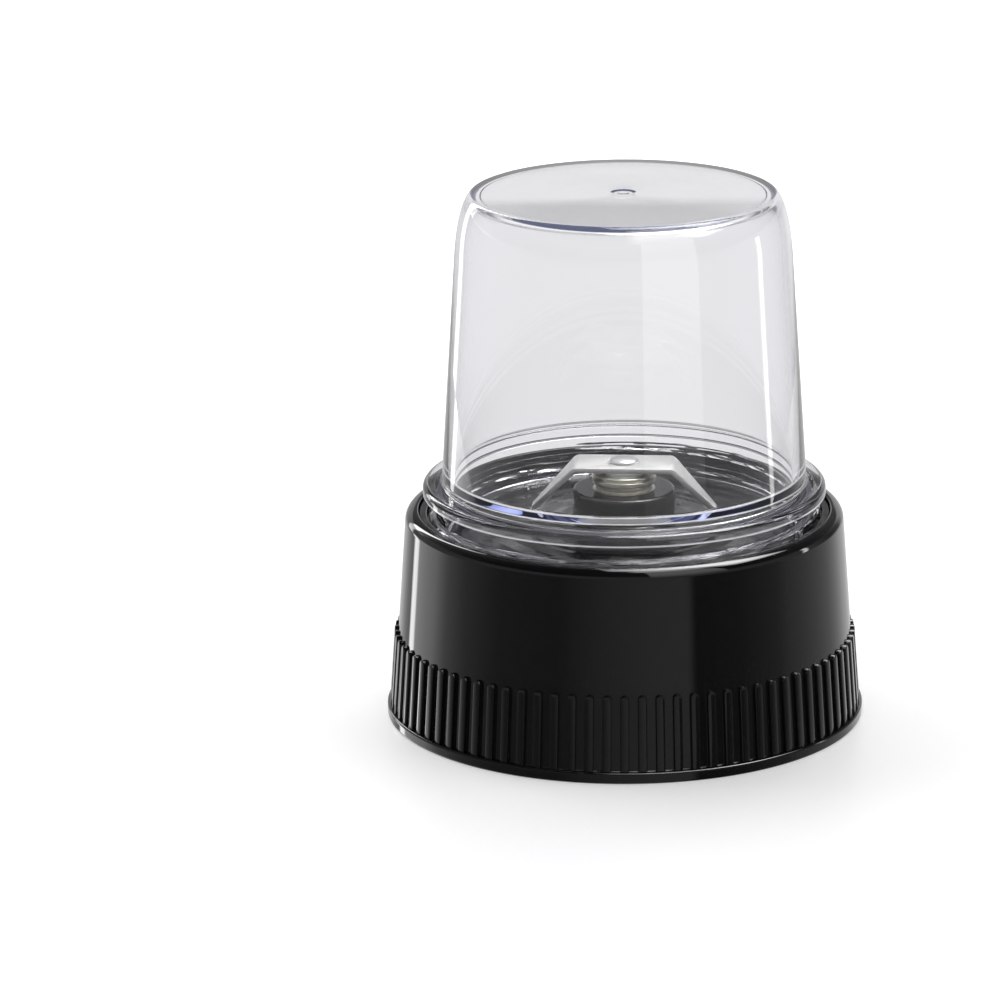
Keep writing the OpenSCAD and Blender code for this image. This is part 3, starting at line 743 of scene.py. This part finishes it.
def grooveCutter():
    # each groove comes up from the plate and then runs round, like an L
    half = sleeve["grooveWidth"] / 2 / sleeve["grooveR"]
    turning = radians(sleeve["grooveTurn"])
    floorR, inR = sleeve["grooveR"], sleeve["grooveInR"]
    low, middle, high = 0.0, sleeve["grooveLow"], sleeve["grooveTop"]
    mesh = bmesh.new()
    across, along = 4, 12       # steps across the upright part and along the turning one
    angles = [-half + 2 * half * k / across for k in range(across + 1)]
    angles += [half + (turning - half) * k / along for k in range(1, along + 1)]

    def corner(radius, angle, height):
        return mesh.verts.new((radius * cos(angle) * mm, radius * sin(angle) * mm, height * mm))

    columns = []
    for i, angle in enumerate(angles):
        heights = [low, middle, high] if i <= across else [middle, high]
        columns.append([[corner(r, angle, z) for z in heights] for r in (inR, floorR)])
    for here, there in zip(columns, columns[1:]):
        if len(here[0]) > len(there[0]):
            here = [side[1:] for side in here]
        for a, b in zip(here, there):
            for row in range(len(b) - 1):
                mesh.faces.new([a[row], b[row], b[row + 1], a[row + 1]])
        for row in (-1, 0):
            mesh.faces.new([here[0][row], there[0][row], there[1][row], here[1][row]])
    # the walls that close the upright part and both ends
    for i, row in ((0, 0), (0, 1), (across, 0), (-1, 0)):
        inner, outer = columns[i]
        mesh.faces.new([inner[row], inner[row + 1], outer[row + 1], outer[row]])
    bmesh.ops.recalc_face_normals(mesh, faces=mesh.faces)
    return copiesRound(newPiece("grooveCutter", mesh, "black_plastic"), sleeve["grooves"], 0.0)


def screwHoleCutter():
    low, high = sleeve["plateLow"] - sleeve["cutPast"], sleeve["plateTop"] + sleeve["cutPast"]
    mesh = turnedMesh([
        (0, low),
        (sleeve["countersinkFootR"], low),
        (sleeve["countersinkR"], sleeve["plateLow"]),
        (sleeve["screwHoleR"], sleeve["countersinkTop"]),
        (sleeve["screwHoleR"], high),
        (0, high),
    ], steps=32)
    bmesh.ops.translate(mesh, verts=mesh.verts, vec=(shell["bossReach"] * mm, 0, 0))
    cutter = newPiece("holeCutter", mesh, "black_plastic")
    return copiesRound(cutter, shell["bosses"], shell["bossTurn"])


makeSleeve()
print("threaded sleeve made")


# Jar

jar = {
    "wall": 2.2,
    "top": 2.0,
    "skirtR": 39.4,
    "skirtWall": 2.0,
    "plainFoot": 0.6,     # below the thread's mesh rows
    "plainWall": 2.0,     # above the inner step's rounding
    "flange": 47.4,
    "flangeTop": 49.9,
    "cupR": 38.0,
    "draft": 3.67,
    "fillet": 0.5,
    "shoulder": 12.0,
    "shoulderIn": 3.0,
    "gateR": 2.65,
    # the gate mark: share of its radius, depth, rounding
    "gateMark": [(0.38, 0.12, 0.1), (0.45, 0.2, 0.1), (0.75, 0.2, 0.2)],
    "stepUp": 1.0,
    "stepHeight": 1.3,
    "threadStart": 40.2,
    "threadTurns": 1.3,
}


def cupR(height):
    return jar["cupR"] - (height - jar["flangeTop"]) * tan(radians(jar["draft"]))


def shoulderCurve(inset, top, steps=22):
    # an upright ellipse, leaning with the wall, so that it starts without a crease
    start = jarBox["high"] - jar["shoulder"]
    points = []
    for k in range(steps + 1):
        angle = pi / 2 * k / steps
        height = start + (top - start) * sin(angle)
        points.append((cupR(height) - inset - jar["shoulderIn"] * (1 - cos(angle)), height))
    return points


def makeJar():
    top, foot, flangeR = jarBox["high"], jarBox["low"], jarBox["r"]
    gate, mark = jar["gateR"], jar["gateMark"]
    filletX = jar["cupR"] + jar["fillet"]
    filletZ = jar["flangeTop"] + jar["fillet"]
    outside = roundedProfile([
        (0, top - mark[0][1]),
        *[(gate * share, top - depth, rounding) for share, depth, rounding in mark],
        (gate, top, 0.3),
        (gate + 1, top),
    ], steps=4)
    outside += shoulderCurve(0, top)[::-1]
    steps = 8
    for k in range(steps + 1):
        angle = radians(180 + jar["draft"] + (90 - jar["draft"]) * k / steps)
        outside.append((filletX + jar["fillet"] * cos(angle), filletZ + jar["fillet"] * sin(angle)))
    outside += roundedProfile([
        (filletX, jar["flangeTop"]),
        (flangeR, jar["flangeTop"], 1.2),
        (flangeR, jar["flange"], 0.3),
        (jar["skirtR"], jar["flange"], 0.2),
        (jar["skirtR"], jar["flange"] - thread["plainEnd"]),
    ])[1:]
    threadLow = foot + jar["plainFoot"]
    outside += rowsBetween(jar["skirtR"], jar["flange"] - thread["plainEnd"], threadLow)
    stepLow = jar["flangeTop"] + jar["stepUp"]
    stepHigh = stepLow + jar["stepHeight"]
    wallLow = stepHigh + jar["plainWall"]
    innerR = jar["skirtR"] - jar["skirtWall"]
    inside = roundedProfile([
        (jar["skirtR"], threadLow),
        (jar["skirtR"], foot, 0.4),
        (innerR, foot, 0.4),
        (innerR, stepLow, 0.7),
        (cupR(stepHigh) - jar["wall"], stepHigh, 1.0),
        (cupR(wallLow) - jar["wall"], wallLow),
    ])[1:]
    inside += shoulderCurve(jar["wall"], top - jar["top"])
    inside += [(0, top - jar["top"])]
    relief = threadOn(jar["skirtR"], 1, jar["threadStart"], 0, jar["threadTurns"])
    piece = newPiece(
        "grindingJar", turnedMesh(outside + inside, steps=256, relief=relief), "clear_plastic"
    )
    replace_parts(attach(piece, "jar"), "jar")


makeJar()
print("jar made")


# Blade carrier, the floor of the grinding space

carrier = {
    "rimR": 34.9,
    "spigotR": 36.5,
    "underside": 33.5,
    "rimTop": 37.0,
    "floor": 38.9,
    # steps down from the spigot to the floor: in from the spigot, above the floor, rounding
    "edge": [(0.0, 0.8, 0.25), (0.8, 0.4, 0.2), (1.2, 0.0, 0.2)],
    # the floor rises to the boss in shallow slopes: outer radius, inner radius
    "slopes": [(33.0, 31.0), (30.2, 27.4), (24.4, 22.0), (20.6, 19.4), (16.3, 14.4)],
    "rise": 1.5,
    "bossR": 10.7,
    "hubR": 9.52,
    "boreR": 6.54,
    "hubSpread": 0.6,    # how much wider the hub is at its root
    "hubLow": 22.0,
    "ceiling": 36.7,
    "flangeR": 8.04,
    "flangeLow": 33.88,
    "flangeTop": 35.92,
    "webs": 8,
    "webTurn": radians(22.5),
    "webThick": 1.6,
    "webLow": 25.0,
    "webRimLow": 34.5,
    "webRoot": 1.0,      # how far a web stands in or out of the hub
    "webSink": 0.5,      # how far it stands in the rim and the ceiling
    "webRound": 0.3,
}


def makeCarrier():
    rimR, spigotR, floorZ = carrier["rimR"], carrier["spigotR"], carrier["floor"]
    outerR, top = carrierBox["r"], carrierBox["high"]
    boreR, flangeR = carrier["boreR"], carrier["flangeR"]
    corners = [
        (rimR, carrier["underside"], 0.2),
        (outerR, carrier["underside"], 0.4),
        (outerR, carrier["rimTop"], 0.2),
        (spigotR, carrier["rimTop"]),
        *[(spigotR - inward, floorZ + up, rounding) for inward, up, rounding in carrier["edge"]],
    ]
    height = floorZ
    steepness = carrier["rise"] / sum(far - near for far, near in carrier["slopes"])
    for far, near in carrier["slopes"]:
        corners.append((far, height, 0.8))
        height += (far - near) * steepness
        corners.append((near, height, 0.8))
    corners += [
        (carrier["bossR"], height, 1.0),
        (carrier["bossR"], top, 0.6),
        (boreR, top, 0.15),
        (boreR, carrier["flangeTop"]),
        (flangeR, carrier["flangeTop"]),
        (flangeR, carrier["flangeLow"]),
        (boreR, carrier["flangeLow"]),
        (boreR, carrier["hubLow"], 0.15),
        (carrier["hubR"], carrier["hubLow"], 0.5),
        (carrier["hubR"] + carrier["hubSpread"], carrier["ceiling"], 0.6),
        (rimR, carrier["ceiling"], 0.6),
    ]
    piece = newPiece("bladeCarrier", turnedRing(corners, 5), "black_plastic")
    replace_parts(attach(piece, "carrier"), "blade_carrier")


def makeCarrierWebs():
    inner, shoulder = carrier["boreR"] + carrier["webRoot"], carrier["hubR"] + carrier["webRoot"]
    outer, high = carrier["rimR"] + carrier["webSink"], carrier["ceiling"] + carrier["webSink"]
    web = plate([
        (inner, carrier["webLow"]),
        (shoulder, carrier["webLow"]),
        (outer, carrier["webRimLow"]),
        (outer, high),
        (inner, high),
    ], carrier["webThick"])
    piece = newPiece("carrierWebs", web, "black_plastic")
    copiesRound(piece, carrier["webs"], carrier["webTurn"])
    softenEdges(piece, carrier["webRound"])
    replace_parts(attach(piece, "carrier"), "blade_carrier")


seal = {
    "play": 0.1,
    "chamfer": 0.45,
}


def makeSeal():
    inner, outer = carrier["spigotR"] + seal["play"], sealBox["r"]
    low, high, chamfer = sealBox["low"], sealBox["high"], seal["chamfer"]
    corners = [
        (inner, low, 0.2),
        (outer, low, 0.2),
        (outer, high - chamfer, 0.3),
        (outer - chamfer, high, 0.2),
        (inner + chamfer, high, 0.2),
        (inner, high - chamfer, 0.3),
    ]
    piece = newPiece("jarSeal", turnedRing(corners, 4), "silicone")
    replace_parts(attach(piece, "carrier"), "jar_seal")


makeCarrier()
makeCarrierWebs()
makeSeal()
print("blade carrier and seal made")


# Hub cap, turned with a groove near its top

cap = {
    "bore": 3.02,
    "chamfer": 1.4,
    "chamferHeight": 1.0,
    "groove": 2.1,          # its height above the cap's foot
    "grooveWidth": 0.3,
    "grooveDepth": 0.3,
    "upperIn": 0.5,
}


def makeHubCap():
    radius, low, high = capBox["r"], capBox["low"], capBox["high"]
    upperR = radius - cap["upperIn"]
    grooveR = upperR - cap["grooveDepth"]
    line = low + cap["groove"]
    corners = [
        (cap["bore"], low, 0.1),
        (radius - cap["chamfer"], low, 0.6),
        (radius, low + cap["chamferHeight"], 0.6),
        (radius, line, 0.08),
        (grooveR, line),
        (grooveR, line + cap["grooveWidth"]),
        (upperR, line + cap["grooveWidth"], 0.05),
        (upperR, high, 0.25),
        (cap["bore"], high, 0.05),
    ]
    piece = newPiece("hubCap", turnedRing(corners, 5, 128), "polished_steel")
    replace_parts(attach(piece, "rotor"), "hub_cap")


makeHubCap()
print("hub cap made")


# Every other node keeps its shape and slot: its corners are merged, so that its curves shade as
# curves, and its edges are broken where the table gives them a width

slotOfNode = {s["node"]: s["material_slot"] for s in frame["record"]["subparts"]}
sameCorner = 1e-6             # m
sameFace = radians(1)
kept = {
    # node: piece, body, width of the broken edges in millimetres
    "shell_screws": ("shellScrews", "collar", 0.0),
    "bearing_housing": ("bearingHousing", "carrier", 0.1),
    "upper_bush": ("upperBush", "carrier", 0.0),
    "lower_bush": ("lowerBush", "carrier", 0.0),
    "oil_felt": ("oilFelt", "carrier", 0.0),
    "shaft_seal": ("shaftSeal", "carrier", 0.0),
    "garter_spring": ("garterSpring", "carrier", 0.0),
    "upper_thrust_washer": ("upperThrustWasher", "carrier", 0.05),
    "drive_shaft": ("driveShaft", "rotor", 0.0),
    "blade_spacer": ("bladeSpacer", "rotor", 0.1),
    "blade": ("grindingBlade", "rotor", 0.12),
    "lower_thrust_washer": ("lowerThrustWasher", "rotor", 0.05),
    "retaining_clip": ("retainingClip", "rotor", 0.08),
    "coupling_insert": ("couplingInsert", "rotor", 0.0),
    "drive_coupling": ("driveCoupling", "rotor", 0.0),
    "coupling_washer": ("couplingWasher", "rotor", 0.06),
    "coupling_screw": ("couplingScrew", "rotor", 0.0),
}


def makeKept():
    for node, (name, body, edge) in kept.items():
        mesh = bmesh.new()
        mesh.from_mesh(frame["nodes"][node].data)
        bmesh.ops.remove_doubles(mesh, verts=mesh.verts, dist=sameCorner)
        if edge:
            bmesh.ops.dissolve_limit(mesh, angle_limit=sameFace, verts=mesh.verts, edges=mesh.edges)
        piece = newPiece(name, mesh, slotOfNode[node])
        if edge:
            softenEdges(piece, edge)
        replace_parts(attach(piece, body), node)


makeKept()

# the frame's own nodes take the same finishes
for nodeName, nodeObject in frame["nodes"].items():
    nodeObject.data.materials.clear()
    nodeObject.data.materials.append(finish[slotOfNode[nodeName]])
print("inner pieces finished")


# Studio: a pale table, lamps for the matt surfaces, and what gloss and clear plastic show

studio = {
    "tableSize": 6.0,
    "tableColour": "#dfdfe0",
    "whiteFrom": 0.12,          # m from the axis, where the table starts to turn white to the eye
    "whiteTo": 0.6,
    "tableLift": 0.33,          # what the eye sees of the table beyond its own light
    "frontEnds": -0.3,          # the room's front and back, by how far a direction leans back
    "backStarts": 0.5,
    "fillFront": 0.24,          # light on matt surfaces
    "fillBack": 0.96,
    "throughFront": 0.64,       # light that clear plastic shows, at the horizon
    "throughBack": 0.98,
    "screenRadius": 0.36,
    "screenHeight": 0.13,
    "lampAway": 0.75,
    "lampHeight": 0.8,
    "lampAim": 0.05,
}

# Brightness of the room by direction: degrees from the front, positive to the right. Gloss sees
# it below the horizon too, because the table is hidden from gloss.
lowLevels = [
    (-180, 0.8), (-158, 0.77), (-147, 0.5), (-141.5, 0.45), (-140, 4.4), (-135, 4.4), (-133.5, 1.3),
    (-114, 1.2), (-103, 0.6), (-88, 0.3), (-66, 0.13), (-34, 0.1), (-10, 0.25), (14, 0.35),
    (32, 0.38), (36, 0.04), (60, 0.07), (84, 0.18), (92, 0.3), (128, 0.54), (149, 0.88), (180, 0.8),
]
# what is left of it higher up, by the sine of the height
fadeUpward = [(-1.0, 1.0), (-0.02, 1.0), (0.24, 0.9), (0.275, 0.2), (0.5, 0.1), (1.0, 0.1)]
# the share of the light through clear plastic, by the sine of the height
throughUpward = [(-1.0, 1.0), (0.24, 0.92), (0.275, 0.26), (0.45, 0.45), (0.6, 1.1), (1.0, 1.1)]
# brightness of the low screen round the object, by degrees
screenLevels = [
    (-180, 0.8), (-146, 0.5), (-143, 0.4), (-142.5, 2.8), (-135.5, 2.8), (-135, 0.3), (98, 0.3),
    (98.4, 6.0), (102.4, 6.0), (102.8, 0.3), (125, 0.1), (140, 0.2), (150, 0.8), (180, 0.8),
]

softBoxes = {
    "leftBox": {"angle": -118, "size": (0.9, 0.5), "watts": 5.5},
    "rightBox": {"angle": 78, "size": (0.7, 0.5), "watts": 3.5},
    "backBox": {"angle": 172, "size": (0.7, 0.4), "watts": 3.5},
}

# what the jar mirrors in front: a window and, above it, a brighter card that the jar's shoulder
# picks up. Each has its brightness by height and fades out at its sides over some degrees.
frontCards = {
    "window": {
        "from": 10.0, "to": 43.0, "fade": 0.5, "radius": 0.1, "low": 0.044, "high": 0.138,
        "levels": [(0.044, 0.2), (0.052, 0.6), (0.062, 1.2), (0.08, 1.6), (0.138, 1.7)],
    },
    "shoulderCard": {
        "from": 1.0, "to": 58.0, "fade": 8.0, "radius": 0.1, "low": 0.138, "high": 0.27,
        "levels": [(0.138, 1.6), (0.16, 4.5), (0.27, 4.5)],
    },
}

# flat soft boxes that gloss mirrors: one corner, two sides, and the level at edge and middle
panels = {
    "overheadBox": {
        "corner": (-0.1, -0.33, 1.05), "across": (1.1, 0, 0), "along": (0, 0.93, 0),
        "edge": 3.0, "middle": 16.0, "throughGlass": True,
    },
    "leftStrip": {
        "corner": (-0.655, 0.635, 0.045), "across": (0.115, 0.085, 0), "along": (0.36, -0.09, 0.64),
        "edge": 6.0, "middle": 8.0, "throughGlass": False,
    },
}


def levelAt(levels, value):
    # the straight line through a list of (value, level)
    for (start, low), (end, high) in zip(levels, levels[1:]):
        if value <= end:
            return low + (high - low) * (value - start) / (end - start)
    return levels[-1][1]


def newCard(name, columns, rows, place, brightness, throughGlass):
    # a sheet of light, its brightness in a point attribute, for gloss and, if told, what is seen
    # through glass
    points, faces, levels = [], [], []
    for i in range(columns + 1):
        for j in range(rows + 1):
            points.append(place(i / columns, j / rows))
            levels.append(brightness(i / columns, j / rows))
    for i in range(columns):
        for j in range(rows):
            k = i * (rows + 1) + j
            faces.append((k, k + 1, k + rows + 2, k + rows + 1))
    mesh = bpy.data.meshes.new(name)
    mesh.from_pydata(points, [], faces)
    mesh.attributes.new("brightness", "FLOAT", "POINT").data.foreach_set("value", levels)
    material = bpy.data.materials.new(name)
    material.use_nodes = True
    material.cycles.emission_sampling = "NONE"
    tree = material.node_tree
    tree.nodes.clear()
    level = addNode(tree, "ShaderNodeAttribute", {"attribute_name": "brightness"}).outputs["Fac"]
    glow = addNode(tree, "ShaderNodeEmission", None, {"Strength": level})
    addNode(tree, "ShaderNodeOutputMaterial", None, {"Surface": glow})
    mesh.materials.append(material)
    card = newObject(name, mesh)
    card.visible_camera = False
    card.visible_diffuse = False
    card.visible_transmission = throughGlass
    card.visible_shadow = False


def roundTheTable(name, radius, low, high, first, last, brightness):
    # part of an upright cylinder
    def place(u, v):
        angle = radians(first + (last - first) * u)
        return (radius * sin(angle), -radius * cos(angle), low + (high - low) * v)

    newCard(
        name, 180, 8, place,
        lambda u, v: brightness(first + (last - first) * u, low + (high - low) * v), False,
    )


def flatPanel(name, panel):
    # brightest in the middle
    corner, across, along = [Vector(panel[key]) for key in ("corner", "across", "along")]
    gain = panel["middle"] - panel["edge"]
    newCard(
        name, 24, 24, lambda u, v: corner + across * u + along * v,
        lambda u, v: panel["edge"] + gain * (1 - (2 * u - 1) ** 2) * (1 - (2 * v - 1) ** 2),
        panel["throughGlass"],
    )


def makeTable():
    mesh = bpy.data.meshes.new("table")
    half = studio["tableSize"] / 2
    corners = [(-half, -half, 0), (half, -half, 0), (half, half, 0), (-half, half, 0)]
    mesh.from_pydata(corners, [], [(0, 1, 2, 3)])
    material, tree, shader, place = newMaterial(
        "paleTable", {"Base Color": studio["tableColour"], "Roughness": 0.3, "IOR": 1.45},
        [{"noise": (60, 2, 0.5), "roughness": (0.29, 0.31)}],
    )
    seen = addNode(tree, "ShaderNodeLightPath").outputs["Is Camera Ray"]
    away = addNode(tree, "ShaderNodeVectorMath", {"operation": "LENGTH"}, {0: place})
    white = addNode(
        tree, "ShaderNodeMapRange",
        {
            "interpolation_type": "SMOOTHSTEP",
            "From Min": studio["whiteFrom"], "From Max": studio["whiteTo"],
            "To Min": studio["tableLift"], "To Max": 1.0,
        },
        {"Value": away.outputs["Value"]},
    )
    lift = addNode(tree, "ShaderNodeMath", {"operation": "MULTIPLY"}, {0: seen, 1: white})
    glow = addNode(tree, "ShaderNodeEmission", None, {"Strength": lift})
    both = addNode(tree, "ShaderNodeAddShader", None, {0: shader, 1: glow})
    tree.links.new(both.outputs[0], tree.nodes["Material Output"].inputs["Surface"])
    material.cycles.emission_sampling = "NONE"
    mesh.materials.append(material)
    table = newObject("table", mesh)
    table.visible_glossy = False
    table.visible_transmission = False


def levelRamp(tree, source, levels):
    # a list of (value, level) as a colour ramp with a gain
    first, last = levels[0][0], levels[-1][0]
    share = addNode(
        tree, "ShaderNodeMapRange", {"From Min": first, "From Max": last}, {"Value": source}
    )
    ramp = addNode(tree, "ShaderNodeValToRGB", None, {0: share})
    brightest = max(level for value, level in levels)
    stops = ramp.color_ramp.elements
    stops[0].position, stops[1].position = 0.0, 1.0
    for value, level in levels[1:-1]:
        stops.new((value - first) / (last - first))
    for stop, (value, level) in zip(stops, levels):
        stop.color = [level / brightest] * 3 + [1.0]
    return addNode(tree, "ShaderNodeMath", {"operation": "MULTIPLY", 1: brightest}, {0: ramp})


def makeRoom():
    world = bpy.data.worlds.new("whiteRoom")
    bpy.context.scene.world = world
    world.use_nodes = True
    tree = world.node_tree
    tree.nodes.clear()
    direction = addNode(tree, "ShaderNodeTexCoord").outputs["Generated"]
    axes = addNode(tree, "ShaderNodeSeparateXYZ", None, {0: direction}).outputs
    fill, through = [
        addNode(
            tree, "ShaderNodeMapRange",
            {
                "From Min": studio["frontEnds"], "From Max": studio["backStarts"],
                "To Min": studio[kind + "Front"], "To Max": studio[kind + "Back"],
            },
            {"Value": axes["Y"]},
        )
        for kind in ("fill", "through")
    ]
    front = addNode(tree, "ShaderNodeMath", {"operation": "MULTIPLY", 1: -1.0}, {0: axes["Y"]})
    angle = addNode(tree, "ShaderNodeMath", {"operation": "ARCTAN2"}, {0: axes["X"], 1: front})
    degree = addNode(tree, "ShaderNodeMath", {"operation": "DEGREES"}, {0: angle})
    path = addNode(tree, "ShaderNodeLightPath").outputs
    mirrored, transmitted = [
        addNode(
            tree, "ShaderNodeMath", {"operation": "MULTIPLY"},
            {0: around, 1: levelRamp(tree, axes["Z"], upward)},
        )
        for around, upward in (
            (levelRamp(tree, degree, lowLevels), fadeUpward), (through, throughUpward)
        )
    ]
    room = addNode(
        tree, "ShaderNodeMix", {"data_type": "FLOAT"},
        {0: path["Is Transmission Ray"], 2: mirrored, 3: transmitted},
    )
    # matt surfaces get the fill, and the eye sees white
    level = addNode(
        tree, "ShaderNodeMix", {"data_type": "FLOAT"},
        {0: path["Is Diffuse Ray"], 2: room, 3: fill},
    )
    strength = addNode(
        tree, "ShaderNodeMix", {"data_type": "FLOAT", 3: 1.0}, {0: path["Is Camera Ray"], 2: level}
    )
    sky = addNode(
        tree, "ShaderNodeBackground", {"Color": linearColour("#ffffff")}, {"Strength": strength}
    )
    addNode(tree, "ShaderNodeOutputWorld", None, {"Surface": sky})


def makeSoftBoxes():
    target = Vector((0, 0, studio["lampAim"]))
    for name, lamp in softBoxes.items():
        data = bpy.data.lights.new(name, "AREA")
        data.shape = "RECTANGLE"
        data.size, data.size_y = lamp["size"]
        data.energy = lamp["watts"]
        light = newObject(name, data)
        angle = radians(lamp["angle"])
        right, front = sin(angle) * studio["lampAway"], cos(angle) * studio["lampAway"]
        place = Vector((right, -front, studio["lampHeight"]))
        facing = (target - place).to_track_quat("-Z", "Y").to_matrix().to_4x4()
        light.matrix_world = Matrix.Translation(place) @ facing
        light.visible_camera = False
        light.visible_glossy = False
        light.visible_transmission = False


makeTable()
makeRoom()
makeSoftBoxes()
roundTheTable(
    "screenRoundTheTable", studio["screenRadius"], 0, studio["screenHeight"], -180, 180,
    lambda degree, height: levelAt(screenLevels, degree),
)
for name, card in frontCards.items():
    roundTheTable(
        name, card["radius"], card["low"], card["high"], card["from"], card["to"],
        lambda degree, height, card=card: levelAt(card["levels"], height) * min(
            1, (degree - card["from"]) / card["fade"], (card["to"] - degree) / card["fade"]
        ),
    )
for name, panel in panels.items():
    flatPanel(name, panel)
print("studio made")
